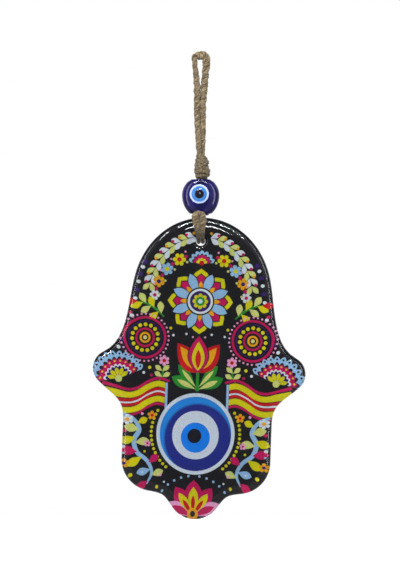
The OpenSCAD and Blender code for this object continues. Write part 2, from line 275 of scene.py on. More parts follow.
def rope(name, route, pitch=8.5, seed=0, spread=0.20, fat=0.345, painted_shade=None):
    """Twisted plies along a route of [x, y, z, diameter] in mm. Returns the piece, its centreline in metres,
    and its spots, directions and diameters in mm. spread and fat are how far off the middle a ply runs and
    its radius, as shares of the diameter. The last argument gives how far a painted shade darkens the cord
    at a place."""
    plies, sides, step = 3, 10, 0.4
    rng = random.Random(seed)
    line = catmull(route, step)
    spots, found = frames_along(line)
    run = [0.0]
    for a, b in zip(spots, spots[1:]):
        run.append(run[-1] + (b - a).length)
    points, faces, lay = [], [], []
    for k in range(plies):
        first = len(points)
        wobble = [rng.uniform(0, 6.28) for _ in range(4)]
        for i, (spot, (way, side, other)) in enumerate(zip(spots, found)):
            d = line[i][3]
            turn = 2 * pi * (run[i] / pitch + k / plies)
            turn += 0.22 * sin(run[i] * 0.9 + wobble[0])
            swell = 1 + 0.07 * sin(run[i] * 1.7 + wobble[1]) + 0.05 * sin(run[i] * 3.9 + wobble[2])
            out = side * cos(turn) + other * sin(turn)
            across = way.cross(out)
            slant = (across * (2 * pi * spread * d / pitch) + way).normalized()
            across = slant.cross(out)
            centre = spot + out * (spread * d)
            r = fat * d * swell
            for j in range(sides):
                a = 2 * pi * j / sides
                rough = 1 + 0.06 * sin(5 * a + run[i] * 2.3 + wobble[3]) + rng.uniform(-0.025, 0.025)
                points.append(centre + (out * cos(a) + across * sin(a)) * (r * rough))
                fibre = a - 2 * pi * run[i] / (pitch * 0.6)
                lay.append((cos(fibre), sin(fibre), run[i] * 0.11 + 7.3 * k + seed * 3.1))
        rows = len(spots)
        for i in range(rows - 1):
            for j in range(sides):
                a, b = first + i * sides + j, first + i * sides + (j + 1) % sides
                faces.append((a, b, b + sides, a + sides))
        faces.append(tuple(first + j for j in reversed(range(sides))))
        faces.append(tuple(first + (rows - 1) * sides + j for j in range(sides)))
    mesh = mesh_of(name, points, faces)
    sharpen(mesh, 80)
    store_lay(mesh, lay)
    # Painted shade: each point gets the share by which the jute is darkened there.
    if painted_shade:
        attribute = mesh.attributes.new("painted_shade", "FLOAT", "POINT")
        for value, point in zip(attribute.data, points):
            value.value = painted_shade(point)
    mesh.materials.append(JUTE)
    path = [tuple(c * MM for c in s) for s in spots]
    return new_object(name, mesh), path, spots, found, [p[3] for p in line]


def stray_fibres(name, cords, count, seed, longest):
    """Thin hairs that stand off the cords."""
    rng = random.Random(seed)
    points, faces, lay = [], [], []
    for _ in range(count):
        spots, found, widths = rng.choice(cords)
        i = rng.randrange(2, len(spots) - 2)
        way, side, other = found[i]
        a = rng.uniform(0, 6.28)
        out = side * cos(a) + other * sin(a)
        spot = spots[i] + out * (widths[i] * 0.44)
        lead = (way * rng.choice((-1, 1)) * rng.uniform(0.7, 1.0) + out * rng.uniform(0.15, 0.6)).normalized()
        bend = (out * rng.uniform(-0.5, 0.35) + way.cross(out) * rng.uniform(-0.6, 0.6)) * 0.5
        length = rng.uniform(1.0, longest)
        radius = rng.uniform(0.022, 0.042)
        first, steps = len(points), 6
        for s in range(steps + 1):
            t = s / steps
            at = spot + lead * (length * t) + bend * (length * t * t)
            heading = (lead + bend * (2 * t)).normalized()
            u = heading.orthogonal().normalized()
            v = heading.cross(u)
            for j in range(3):
                b = 2.0944 * j
                points.append(at + (u * cos(b) + v * sin(b)) * (radius * (1 - 0.75 * t)))
                lay.append((cos(b) * 0.3, sin(b) * 0.3, length * t * 0.11 + first))
        for s in range(steps):
            for j in range(3):
                p, q = first + 3 * s + j, first + 3 * s + (j + 1) % 3
                faces.append((p, q, q + 3, p + 3))
        faces.append((first + 2, first + 1, first))
        faces.append(tuple(first + 3 * steps + j for j in range(3)))
    mesh = mesh_of(name, points, faces)
    store_lay(mesh, lay)
    mesh.materials.append(JUTE)
    return new_object(name, mesh)


CORD_D = 2.9
# The hanging loop, as [x, y, z, share of the cord's diameter]
LOOP_ROUTE = [
    [-0.8, -0.9, -47.5, 0.80], [-0.8, -0.9, -46.0, 0.82], [-1.0, -0.7, -42, 0.92], [-1.35, -0.3, -35, 0.98],
    [-1.65, 0, -27, 1.06], [-1.68, 0, -20, 1.10], [-1.7, 0, -13.6, 1.16], [-2.4, 0, -6, 0.96],
    [-3.0, 0, -1, 0.90], [-2.7, 0, 1.4, 1.10], [-1.4, 0, 2.4, 1.28], [0, 0, 2.2, 1.50],
    [1.4, 0, 2.3, 1.36], [2.6, 0, 1.2, 1.30], [2.8, 0, -1.5, 1.26], [2.4, 0, -6, 1.14],
    [1.7, 0, -13.6, 1.18], [1.15, 0, -20, 1.14], [1.05, 0, -27, 1.06], [1.05, 0.3, -35, 0.98],
    [0.9, 0.8, -42, 0.90], [0.8, 0.9, -46.0, 0.82], [0.8, 0.9, -47.5, 0.80]]
loop, loop_path, *loop_run = rope(
    "loop_rope", [[x, y, z, s * CORD_D] for x, y, z, s in LOOP_ROUTE], pitch=12.0, seed=1)
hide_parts("loop_cord")
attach(loop, "cord")

# The two strands that run on down through the knot and the bead
CORE_ROUTE = [[0.8, 0.9, -47.3, 2.3], [0.8, 0.9, -48.6, 2.2], [0.9, 0.5, -51, 2.1], [1.05, 0, -54.5, 2.1],
              [1.15, 0, -58, 2.1], [1.15, 0, -66, 2.1], [1.15, 0, -72.8, 2.1]]
for side, name in ((-1, "core_rope_left"), (1, "core_rope_right")):
    piece, *_ = rope(name, [[side * x, side * y, z, d] for x, y, z, d in CORE_ROUTE], seed=3 + side)
    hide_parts("bead_strands")
    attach(piece, "cord")

# The stop knot: an acorn form of [x, y, z, radius], with the doubled cord's turns laid over it
ACORN = [[-0.1, 0, -46.8, 2.05], [0.25, 0, -48.4, 2.75], [0.65, 0, -50.3, 3.25], [0.75, 0, -52.7, 3.6],
         [0.75, 0, -54.3, 3.85], [0.75, 0, -55.8, 3.75], [0.8, 0, -57.2, 3.15], [0.85, 0, -58.3, 2.6]]
# Each pair of turns: height, slant, the side where it runs high, how far it stands out, and where it begins
KNOT_TURNS = [(-55.7, 0.35, 40, 0.0, 110), (-53.4, 1.7, 175, 0.0, 60), (-50.9, 1.9, 5, 0.12, 200),
              (-48.9, 0.8, 150, 0.0, 90)]
TURN_D, TURN_LIFT, TURN_STEPS, TURN_SWEEP = 2.1, 0.95, 30, 388


def acorn(z):
    """The knot's middle and radius at a height."""
    x, _, heights, r = zip(*ACORN[::-1])
    return float(np.interp(z, heights, x)), float(np.interp(z, heights, r))


# The first piece fills the acorn's heart, 0.25 mm inside its form. Its plies reach 0.52 of its diameter.
knot_runs = []
knot_turns = [[[x, y, z, (r - 0.25) / 0.52] for x, y, z, r in ACORN]]
for rise, swing, high_side, over, begin in KNOT_TURNS:
    for lift in (-TURN_LIFT, TURN_LIFT):
        route = []
        for i in range(TURN_STEPS + 1):
            a = radians(begin + TURN_SWEEP * i / TURN_STEPS)
            share = min(1, i / 3, (TURN_STEPS - i) / 3)
            z = rise + lift + swing * cos(a - radians(high_side))
            middle, r = acorn(z)
            r = (r - 0.85 + over) * (0.4 + 0.6 * share)
            route.append([middle + r * cos(a), 0.95 * r * sin(a), z, TURN_D])
        knot_turns.append(route)
for t, route in enumerate(knot_turns):
    # Painted shade: every turn of the knot is darkened by the same share.
    piece, _, *run = rope(f"knot_turn_{t}", route, seed=10 + t, pitch=6.0 if t else 11.0, spread=0.14,
                          fat=0.38, painted_shade=lambda point: 0.27)
    knot_runs.append(run)
    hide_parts("stop_knot")
    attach(piece, "cord")

# The hitch's right half, as [x, y, z over the hole, diameter]: its tail behind the glass, with y from the
# cord's plane, and its leg over the face, with y from the glass's front
TAIL_ROUTE = [[1.15, 0, 16.2, 2.1], [1.15, 0, 14.6, 2.15], [1.15, 0, 12.6, 2.2], [1.37, 0, 10, 2.6],
              [1.42, 0, 6.2, 2.6], [1.15, 0, 3.9, 2.2], [1.1, -0.9, 1.1, 1.9], [1.08, -2.7, -0.1, 2.0]]
FACE_ROUTE = [[1.06, 2.4, -0.2, 2.0], [1.02, -0.1, 1.1, 2.05], [1.0, -1.3, 3.5, 2.25], [1.2, -1.5, 6, 2.75],
              [1.6, -1.5, 9, 3.3], [1.8, -1.4, 11.6, 3.5], [1.25, -0.9, 13.0, 3.1]]
HITCH_TOP = [-0.1, -0.3 + FRONT_Y, 13.4, 2.8]
FACE_LEAN = 0.065
right = TAIL_ROUTE + [[x, y + FRONT_Y, z, d] for x, y, z, d in FACE_ROUTE]
left = [[-x, y, z, d] for x, y, z, d in reversed(right)]
hitch_route = [[x + (-FACE_LEAN * z if y < FRONT_Y + 1 else 0), y, z + HOLE_Z, d]
               for x, y, z, d in right + [HITCH_TOP] + left]
# Painted shade: the hitch is darkened a little all over and much more towards its lower end, where it goes
# into the hole.
hitch, _, *hitch_run = rope(
    "hitch_rope", hitch_route, seed=5, pitch=9.0, spread=0.22, fat=0.325,
    painted_shade=lambda point: 0.05 + 0.64 * min(1.0, max(0.0, (HOLE_Z + 9 - point.z) / 8)))
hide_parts("hitch_cord")
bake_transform(hitch)

# Loose hairs, those of the hitch only where it lies on the hand's face
on_face = [at for at in zip(*hitch_run) if at[0].y < FRONT_Y + 0.5 and at[0].z < BEAD_FOOT_Z - 0.7]
for name, cords, count, seed, longest, body in (
        ("stray_fibres_loop", [loop_run], 70, 21, 3.2, "cord"),
        ("stray_fibres_knot", knot_runs, 34, 22, 2.2, "cord"),
        ("stray_fibres_hitch", [tuple(zip(*on_face))], 26, 23, 2.4, "hitch")):
    fibres = stray_fibres(name, cords, count, seed, longest)
    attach(fibres, body)


# Eye bead

BEAD_W, BEAD_T, FOOT_W, BORE_R, END_R = 18.4, 11.0, 8.2, 2.7, 0.7
SQUARENESS = 0.9
EYE_X, EYE_Z = -0.7, 0.5
FOOT_REACH = (BELLY_Z - BEAD_FOOT_Z) / sqrt(1 - (FOOT_W / BEAD_W) ** 2)
PRESS_R = (BEAD_T / 2) / (1 - (BEAD_T / BEAD_W) ** 4) ** 0.25


def bead_half(z):
    """Half the bead's width at z from its belly."""
    r = BEAD_W / 2
    return sqrt(r * r - z * z) if z > 0 else r * sqrt(1 - (z / FOOT_REACH) ** 2)


def bead_deep(a):
    """Half the bead's thickness where half its width is a."""
    return a * PRESS_R / (a ** 4 + PRESS_R ** 4) ** 0.25


def bead_front(x, z):
    """How far the bead's face stands in front of its middle at x and z, both from its middle."""
    a = bead_half(z)
    c = min(1.0, abs(x) / a) ** (1 / SQUARENESS)
    return bead_deep(a) * sqrt(max(0.0, 1 - c * c)) ** SQUARENESS


def bead_piece():
    """The bead's body: rings from its foot up to its top, and down again through the bore."""
    n = 120
    low, high = BEAD_FOOT_Z - BELLY_Z, BEAD_TOP_Z - BELLY_Z
    rows = []

    def outer(z, cut):
        a = bead_half(z) - cut
        b = bead_deep(a)
        ring = []
        for i in range(n):
            t = 2 * pi * i / n
            c, s = cos(t), sin(t)
            ring.append((a * copysign(abs(c) ** SQUARENESS, c), b * copysign(abs(s) ** SQUARENESS, s)))
        return ring

    for i in range(7):
        a = radians(90 * i / 6)
        rows.append((outer(low, END_R * (1 - sin(a)) * 0.9), low + END_R * (1 - cos(a))))
    inner_low, inner_high = low + END_R, high - END_R
    for i in range(1, 64):
        z = inner_low + (inner_high - inner_low) * i / 64
        rows.append((outer(z, 0), z))
    for i in range(7):
        a = radians(90 - 90 * i / 6)
        ring = outer(high - END_R * (1 - i / 6) * 0.5, END_R * (1 - sin(a)) * 0.9)
        rows.append((ring, high - END_R * (1 - cos(a))))
    bore = [(0.5, high - 0.05), (0.12, high - 0.2)]
    bore += [(0, high - 0.45 - (high - low - 0.9) * i / 12) for i in range(13)]
    bore += [(0.12, low + 0.2), (0.5, low + 0.04)]
    rows += [(circle_at(0, 0, BORE_R + flare, n), z) for flare, z in bore]
    points = [(x, y, z + BELLY_Z) for ring, z in rows for x, y in ring]
    faces = []
    for r in range(len(rows)):
        for i in range(n):
            j = (i + 1) % n
            q = (r + 1) % len(rows)
            faces.append((r * n + i, r * n + j, q * n + j, q * n + i))
    mesh = mesh_of("bead_glass", points, faces)
    sharpen(mesh, 50)
    return new_object("bead_glass", mesh)


def drop_piece(name, radius, crown, edge):
    """A lens of glass pooled on the bead's face, front and back. It stands edge proud at its rim and crown
    proud at its middle."""
    points, faces = [], []
    rings, n, sunk = 14, 72, -0.5
    for turn in (1, -1):
        first = len(points)

        def spot(x, z, proud):
            front = bead_front(x + EYE_X, z + EYE_Z) + proud
            return turn * (x + EYE_X), -turn * front, z + EYE_Z + BELLY_Z

        points.append(spot(0, 0, crown))
        for r in range(1, rings + 1):
            share = (r / (rings - 1)) * 0.985 if r < rings else 1.0
            proud = edge + (crown - edge) * (1 - share ** 2)
            if r == rings:
                proud = edge - 0.03
            for i in range(n):
                a = 2 * pi * i / n
                points.append(spot(radius * share * cos(a), radius * share * sin(a), proud))
        for i in range(n):
            a = 2 * pi * i / n
            points.append(spot(radius * cos(a), radius * sin(a), sunk))
        points.append(spot(0, 0, sunk))
        for i in range(n):
            j = (i + 1) % n
            faces.append((first, first + 1 + i, first + 1 + j))
            for r in range(rings):
                a = first + 1 + r * n
                faces.append((a + i, a + n + i, a + n + j, a + j))
            last = first + 1 + rings * n
            faces.append((last + i, last + n, last + j))
    mesh = mesh_of(name, points, faces)
    sharpen(mesh, 60)
    return new_object(name, mesh)


bead_materials = {
    "bead_glass": ("bead_body", "navy_bead_glass", [linear("0c0a30"), linear("1a1458")]),
    "bead_white": ("bead_white_drops", "white_bead_glass", [linear("a6b6da"), linear("b8c8e6")]),
    "bead_sky": ("bead_blue_drops", "sky_bead_glass", [linear("3369ac"), linear("4580c2")]),
    "bead_pupil": ("bead_pupil_drops", "black_bead_glass", [linear("0a0a12"), linear("17172a")]),
}
bead_pieces = [bead_piece(), drop_piece("bead_white", 4.7, 0.13, 0.04),
               drop_piece("bead_sky", 3.8, 0.26, 0.14), drop_piece("bead_pupil", 2.25, 0.46, 0.27)]
for piece in bead_pieces:
    cad_node, slot_name, colours = bead_materials[piece.name]
    tint = (0.72, 0.70, 1.0, 1) if cad_node == "bead_body" else (1, 1, 1, 1)
    piece.data.materials.append(bead_material(slot_name, colours, tint))
    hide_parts(cad_node)
    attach(piece, "bead")


# Outline of the hand

def unit(x, y):
    n = hypot(x, y)
    return x / n, y / n


def arc(cx, cy, r, a, b, n):
    """Points round a circle from a to b degrees, in n steps."""
    turns = [radians(a + (b - a) * i / n) for i in range(n + 1)]
    return [(cx + r * cos(t), cy + r * sin(t)) for t in turns]


def sweep(p, u, q, v, full, n):
    """Points between p, left in direction u, and q, reached in direction v. full is how wide it swings."""
    m = full * dist(p, q)
    out = []
    for i in range(1, n):
        t = i / n
        w = (2 * t ** 3 - 3 * t * t + 1, (t ** 3 - 2 * t * t + t) * m,
             3 * t * t - 2 * t ** 3, (t ** 3 - t * t) * m)
        out.append(tuple(w[0] * p[k] + w[1] * u[k] + w[2] * q[k] + w[3] * v[k] for k in (0, 1)))
    return out


def turn_at(degrees):
    """The way round a circle, clockwise, at so many degrees."""
    return sin(radians(degrees)), -cos(radians(degrees))


def hand_outline():
    """The part's outline with more points, clockwise from the top of the dome."""
    dome_a, dome_b, dome_turn = 34.3, 39.0, 67.5
    thumb_r, thumb_drop, waist_w, waist_drop = 8.8, 75.1, 72.9, 100.0
    hip_w, hip_drop, hip_r, finger_r = 73.0, 119.0, 15.7, 13.0
    steps = [radians(dome_turn * i / 42) for i in range(43)]
    dome = [(dome_a * sin(a), -dome_b * (1 - cos(a))) for a in steps]
    dome_way = unit(dome_a * cos(steps[-1]), -dome_b * sin(steps[-1]))
    thumb = arc(HAND_W / 2 - thumb_r, -thumb_drop, thumb_r, 63, -46, 30)
    waist = (waist_w / 2, -waist_drop)
    hip = arc(hip_w / 2 - hip_r, -hip_drop, hip_r, 0, -82, 27)
    side_way = unit(hip_w / 2 - waist[0], -hip_drop - waist[1])
    side = [tuple(waist[k] + (hip[0][k] - waist[k]) * i / 12 for k in (0, 1)) for i in range(1, 12)]
    tip = arc(0, finger_r - HAND_H, finger_r, -37, -90, 15)
    right = (dome + sweep(dome[-1], dome_way, thumb[0], turn_at(63), 0.99, 36) + thumb
             + sweep(thumb[-1], turn_at(-46), waist, side_way, 1.39, 24) + [waist] + side + hip
             + sweep(hip[-1], turn_at(-82), tip[0], turn_at(-37), 1.63, 27) + tip)
    return right + [(-u, v) for u, v in reversed(right[1:-1])]


def inset(points, d):
    """The closed run of points, moved inwards by d."""
    n = len(points)
    out = []
    for i in range(n):
        a, b = points[i - 1], points[(i + 1) % n]
        x, y = unit(b[0] - a[0], b[1] - a[1])
        out.append((points[i][0] + d * y, points[i][1] - d * x))
    return out


def hung(u, v, w):
    """From the flat drawing, with its origin at the top of the hand, to the hanging hand."""
    a, b = u + HOLE_OFFSET, v + HOLE_DROP
    c, s = cos(radians(HANG_LEAN)), sin(radians(HANG_LEAN))
    return a * c + b * s, BACK_Y - w, HOLE_Z - a * s + b * c


def inside(points, polygon):
    """Which of the points lie inside a closed polygon."""
    x, y = points[:, 0], points[:, 1]
    found = np.zeros(len(points), bool)
    n = len(polygon)
    for i in range(n):
        x1, y1 = polygon[i]
        x2, y2 = polygon[(i + 1) % n]
        if y1 == y2:
            continue
        cut = ((y1 > y) != (y2 > y)) & (x < (x2 - x1) * (y - y1) / (y2 - y1) + x1)
        found ^= cut
    return found


def triangulated(loops):
    """Triangles among closed loops of points, and the points. Points that were given keep their order."""
    points, edges = [], []
    for loop_points in loops:
        first, n = len(points), len(loop_points)
        points += [Vector(p) for p in loop_points]
        edges += [(first + i, first + (i + 1) % n) for i in range(n)]
    found, _, faces, *_ = delaunay_2d_cdt(points, edges, [], 0, 1e-6)
    return np.array([tuple(p) for p in found]), [tuple(f) for f in faces]


OUTLINE = hand_outline()
HOLE = (-HOLE_OFFSET, -HOLE_DROP)


def clear_glass_piece():
    """The clear glass as one closed skin: rows of (inset, height over the back) up its side and shoulder,
    rows of (radius, height) up its hole, and flat caps between them."""
    holes = 96
    rows = [(0.3, 1.3), (0.0, BACK_T)]
    rows += [(0.0, BACK_T + 1.5 * i / 3) for i in range(1, 3)]
    rows += [(SHOULDER_W * (1 - cos(radians(90 * i / 14))),
              HAND_T - SHOULDER_T + SHOULDER_T * sin(radians(90 * i / 14))) for i in range(15)]
    bore = HOLE_D / 2
    hole_rows = [(bore + 0.3, 1.3), (bore, BACK_T), (bore, 2.5), (bore, 3.5)]
    hole_rows += [(bore + RIM_R - RIM_R * cos(radians(90 * i / 10)),
                   HAND_T - RIM_R + RIM_R * sin(radians(90 * i / 10))) for i in range(11)]
    n = len(OUTLINE)
    points, faces = [], []
    for d, w in rows:
        points += [hung(u, v, w) for u, v in inset(OUTLINE, d)]
    base = len(points)
    for r, w in hole_rows:
        points += [hung(u, v, w) for u, v in circle_at(*HOLE, r, holes)]
    for r in range(len(rows) - 1):
        for i in range(n):
            j = (i + 1) % n
            faces.append((r * n + i, r * n + j, (r + 1) * n + j, (r + 1) * n + i))
    for r in range(len(hole_rows) - 1):
        for i in range(holes):
            j = (i + 1) % holes
            a = base + r * holes
            faces.append((a + i, a + j, a + holes + j, a + holes + i))
    for outer_row, hole_row in ((0, 0), (len(rows) - 1, len(hole_rows) - 1)):
        outer = inset(OUTLINE, rows[outer_row][0])
        rim = circle_at(*HOLE, hole_rows[hole_row][0], holes)
        found, triangles = triangulated([outer, rim])
        middles = np.array([found[list(t)].mean(axis=0) for t in triangles])
        keep = inside(middles, outer) & ~inside(middles, rim)
        names = [outer_row * n + i for i in range(n)] + [base + hole_row * holes + i for i in range(holes)]
        faces += [tuple(names[i] for i in t) for t, k in zip(triangles, keep) if k]
    # The caps are shaded flat, because smooth shading would bend the reflections in their long triangles
    curved = (len(rows) - 1) * n + (len(hole_rows) - 1) * holes
    mesh = mesh_of("hand_clear_glass", points, faces)
    for f in mesh.polygons[curved:]:
        f.use_smooth = False
    sharpen(mesh, 50)
    mesh.materials.append(CLEAR)
    return new_object("hand_clear_glass", mesh)


glass = clear_glass_piece()
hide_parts("clear_glass")
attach(glass, "hand")


# The print: a folk design of its own, with flowers, leaves, fans and bands in bold colours on black

COLOURS = {
    "black": "18171a", "yellow": "d8d104", "lime": "d0d778", "magenta": "c31057", "sky": "92bde3",
    "white": "d7e2e8", "purple": "331b62", "red": "c8151c", "orange": "eaa60c", "green": "288f2a",
    "pink": "e6a0cc"}
SHAPES = []


def put(colour, points, both=True):
    """Adds a shape, and its mirror image unless told otherwise. Later shapes cover earlier ones."""
    SHAPES.append((colour, [(u - PRINT_SHIFT, v) for u, v in points]))
    if both:
        SHAPES.append((colour, [(-u - PRINT_SHIFT, v) for u, v in reversed(points)]))


def disc(colour, u, v, r, both=True):
    put(colour, circle_at(u, v, r, max(10, int(9 + 4.2 * r))), both)


def petal(colour, u, v, way, length, width, both=True, fullest=0.6):
    """A leaf or petal from its root at u, v. way is in degrees from straight up, clockwise, and fullest is
    where along its length it is widest."""
    n = 9
    dx, dy = sin(radians(way)), cos(radians(way))
    power = log(0.5) / log(fullest)
    side = [(t / n, width / 2 * sin(pi * (t / n) ** power) ** 0.9) for t in range(1, n)]
    points = [(u, v)] + [(u + dx * length * t + dy * w, v + dy * length * t - dx * w) for t, w in side]
    points += [(u + dx * length, v + dy * length)]
    points += [(u + dx * length * t - dy * w, v + dy * length * t + dx * w) for t, w in reversed(side)]
    put(colour, points, both)


def round_petal(colour, u, v, way, reach, r, both=True):
    """A petal with a round end: a circle of radius r at the reach, joined to the root."""
    dx, dy = sin(radians(way)), cos(radians(way))
    cx, cy = u + dx * reach, v + dy * reach
    points = [(u, v)]
    for i in range(13):
        a = radians(-110 + 220 * i / 12)
        x, y = sin(a), cos(a)
        points.append((cx + r * (dx * y + dy * x), cy + r * (dy * y - dx * x)))
    put(colour, points, both)


def daisy(u, v, r, count, colour, eye, eye_r=0.34, inner=None, start=0.0, both=True):
    for i in range(count):
        round_petal(colour, u, v, start + 360 * i / count, r * 0.66, r * min(0.36, 1.9 / count), both)
    if inner:
        for i in range(count):
            round_petal(inner, u, v, start + 360 * i / count, r * 0.36, r * 0.19, both)
    disc(eye, u, v, r * eye_r, both)


def stroke(colour, route, both=True):
    """A line through points of [u, v, width]."""
    line = catmull([[u, v, 0, w] for u, v, w in route], 0.8)
    left, right = [], []
    for i, p in enumerate(line):
        a, b = line[max(i - 1, 0)], line[min(i + 1, len(line) - 1)]
        x, y = unit(b[0] - a[0], b[1] - a[1])
        left.append((p[0] - y * p[3] / 2, p[1] + x * p[3] / 2))
        right.append((p[0] + y * p[3] / 2, p[1] - x * p[3] / 2))
    put(colour, left + right[::-1], both)


def dots_round(colour, u, v, reach, r, count, first=0.0, last=360.0):
    span = last - first
    for i in range(count):
        share = i / count if span >= 360 else i / (count - 1)
        a = radians(first + span * share)
        disc(colour, u + reach * sin(a), v + reach * cos(a), r)


def scalloped(colour, u, v, r, count, depth, first=0.0, last=360.0, both=True):
    """A disc, or a sector of one, whose edge runs in so many scallops."""
    points = []
    steps = count * 7
    for i in range(steps + (last - first < 360)):
        share = i / steps
        a = radians(first + (last - first) * share)
        reach = r - depth * (1 - abs(sin(pi * share * count)))
        points.append((u + reach * sin(a), v + reach * cos(a)))
    if last - first < 360:
        points.append((u, v))
    put(colour, points, both)


def design():
    """Puts the print's shapes, the lowest first."""
    # Border of dots along the flanks
    border = [inset(OUTLINE, 3.6)[i] for i in range(36, 92)]
    run, spaced = 0.0, []
    for a, b in zip(border, border[1:]):
        run += dist(a, b)
        if run > 2.9:
            spaced.append(b)
            run = 0.0
    for i, (u, v) in enumerate(spaced):
        disc(("purple", "white")[i % 2], u, v, 0.85 if i % 2 else 1.05)

    # Garland of leaves and berries along the dome
    for i in range(10):
        a = 9 + 7.6 * i
        across, up = sin(radians(a)), cos(radians(a))
        u, v = 25.4 * across, -39 + 29.6 * up
        colour = ("white", "lime")[i % 2]
        petal(colour, u, v, a + 58, 5.0, 2.6)
        petal(colour, u, v, a + 122, 5.0, 2.6)
        disc("magenta" if i % 2 else "orange", u + 2.1 * across, v + 2.1 * up, 0.72)

    # Half rosette under the cord hole and the row of flowers beside it
    for r, colour, count, depth in (
            (6.6, "sky", 7, 1.1), (5.1, "black", 7, 0.9), (4.5, "magenta", 7, 0.8), (2.9, "yellow", 5, 0.6)):
        scalloped(colour, 0, -22.6, r, count, depth, -84, 84, both=False)
    disc("red", 0, -22.2, 1.2, False)
    for a, r, colour, eye in ((29, 3.3, "yellow", "red"), (48, 3.2, "sky", "yellow"),
                              (66, 3.0, "orange", "purple"), (83, 2.6, "white", "magenta")):
        u, v = 22.6 * sin(radians(a)), -41.5 + 23.6 * cos(radians(a))
        daisy(u, v, r, 6, colour, eye, start=a)
    for a in (20, 39, 57.5, 75):
        u, v = 22.6 * sin(radians(a)), -41.5 + 23.6 * cos(radians(a))
        disc("magenta", u, v, 0.85)
        disc("lime", u * 0.92, v - 2.7, 0.6)
        disc("pink", u * 1.05, v + 2.4, 0.5)

    # Large flower with two rows of petals
    for i in range(8):
        petal("yellow", 0, -41, 45 * i, 16.0, 9.4, False, fullest=0.66)
    for i in range(8):
        petal("black", 0, -41, 45 * i, 13.8, 6.9, False, fullest=0.66)
        petal("magenta", 0, -41, 45 * i, 13.2, 6.0, False, fullest=0.66)
        petal("orange", 0, -41, 45 * i, 9.8, 2.4, False, fullest=0.7)
    for i in range(8):
        petal("black", 0, -41, 22.5 + 45 * i, 15.0, 5.4, False, fullest=0.7)
        petal("sky", 0, -41, 22.5 + 45 * i, 14.4, 4.4, False, fullest=0.7)
    disc("black", 0, -41, 6.9, False)
    disc("white", 0, -41, 6.2, False)
    disc("purple", 0, -41, 5.1, False)
    daisy(0, -41, 4.3, 8, "yellow", "white", 0.26, "green", both=False)

    # Leafy sprays beside it
    stroke("green", [[17.4, -49.2, 0.6], [21.4, -45.6, 1.1], [26.0, -43.0, 1.0], [31.0, -42.0, 0.5]])
    for u, v, way, colour in (
            (18.8, -47.6, 8, "lime"), (22.4, -44.8, 26, "yellow"), (26.4, -42.8, 34, "lime"),
            (20.2, -46.6, 134, "yellow"), (24.0, -44.0, 124, "lime"), (28.0, -42.4, 116, "yellow")):
        petal(colour, u, v, way, 6.0, 3.3)
    petal("red", 30.4, -42.0, 92, 4.8, 3.2)
    disc("magenta", 33.4, -47.6, 0.8)

    # Tulip in the middle
    stroke("green", [[0, -85, 1.7], [0, -80, 1.4], [0, -74.5, 1.6]], False)
    for way, colour, length, width in ((64, "green", 13.4, 5.6), (64, "lime", 10.4, 2.5)):
        petal(colour, 0.6, -84.2, way, length, width)
    for way, colour, length, width in ((40, "green", 14.2, 4.6), (40, "lime", 11.2, 1.9)):
        petal(colour, 0.6, -83.2, way, length, width)
    petal("red", 0, -76, 36, 17.6, 9.8, fullest=0.42)
    petal("orange", 0.8, -74.2, 37, 13.4, 5.4, fullest=0.42)
    petal("black", 0, -76, 0, 18.6, 10.8, False, fullest=0.45)
    petal("magenta", 0, -75.8, 0, 17.8, 9.8, False, fullest=0.45)
    petal("yellow", 0, -75, 0, 14.2, 6.2, False, fullest=0.45)
    petal("red", 0, -74.2, 0, 9.6, 2.8, False, fullest=0.5)

    # Wheels of dots
    wheel_u, wheel_v = 26.4, -59.6
    for r, colour in ((10.4, "magenta"), (9.3, "black"), (8.4, "purple"), (7.9, "black"), (4.8, "magenta"),
                      (3.8, "black"), (2.7, "orange"), (1.7, "black")):
        disc(colour, wheel_u, wheel_v, r)
    dots_round("yellow", wheel_u, wheel_v, 6.4, 0.95, 15)
    disc("lime", wheel_u, wheel_v, 1.0)
    dots_round("pink", wheel_u, wheel_v, 11.6, 0.5, 34)

    # Sprigs between the wheels and the tulip
    stroke("green", [[18.6, -80.4, 0.6], [17.0, -76.4, 0.9], [16.6, -72.8, 0.7]])
    for v, way in ((-78.6, -62), (-78.6, 58), (-75.8, -50), (-75.8, 52)):
        petal("lime", 17.4, v, way, 4.4, 2.4)
    daisy(16.6, -70.6, 2.7, 6, "pink", "red")
    for u, v, r, colour in (
            (14.0, -54.6, 0.7, "yellow"), (12.6, -58.0, 0.6, "white"), (23.6, -74.2, 0.8, "yellow"),
            (26.4, -76.8, 0.7, "white"), (22.6, -78.0, 0.7, "magenta"), (29.2, -73.6, 0.6, "sky"),
            (6.2, -57.2, 0.6, "white"), (3.0, -58.6, 0.5, "pink")):
        disc(colour, u, v, r)

    # Fans on the thumbs
    fan_u, fan_v = 38.6, -80.2
    for r, colour, count, depth in (
            (13.6, "sky", 11, 1.6), (10.9, "black", 11, 1.4), (10.0, "magenta", 9, 1.2),
            (7.3, "white", 9, 1.0), (6.4, "purple", 9, 0.9)):
        scalloped(colour, fan_u, fan_v, r, count, depth, -66, 96)
    for i in range(5):
        petal("yellow", fan_u, fan_v, -50 + 32.5 * i, 5.6, 2.0, fullest=0.7)
    disc("lime", fan_u, fan_v, 1.7)
    dots_round("black", fan_u, fan_v, 12.2, 0.5, 11, -58.5, 88.5)
    dots_round("yellow", fan_u, fan_v, 8.7, 0.45, 9, -57, 87)

    # Stepped bands under the fans, tied off by an upright bar at their inner ends
    wave = ((13.6, -83.4), (19, -82.0), (24, -83.8), (29, -87.0), (34, -88.0), (40, -86.4), (46, -84.4))
    for colour, drop, width in (("magenta", -2.7, 1.2), ("yellow", 0, 2.8), ("red", 2.5, 1.3),
                                ("white", 3.7, 0.8), ("red", 4.9, 1.3), ("yellow", 7.4, 2.8),
                                ("magenta", 9.8, 1.1)):
        stroke(colour, [[u, v - drop, width] for u, v in wave])
    stroke("black", [[14.4, -81, 2.6], [14.4, -95, 2.6]])
    stroke("sky", [[15.0, -81.4, 1.2], [15.0, -88, 1.2], [15.0, -94.4, 1.2]])

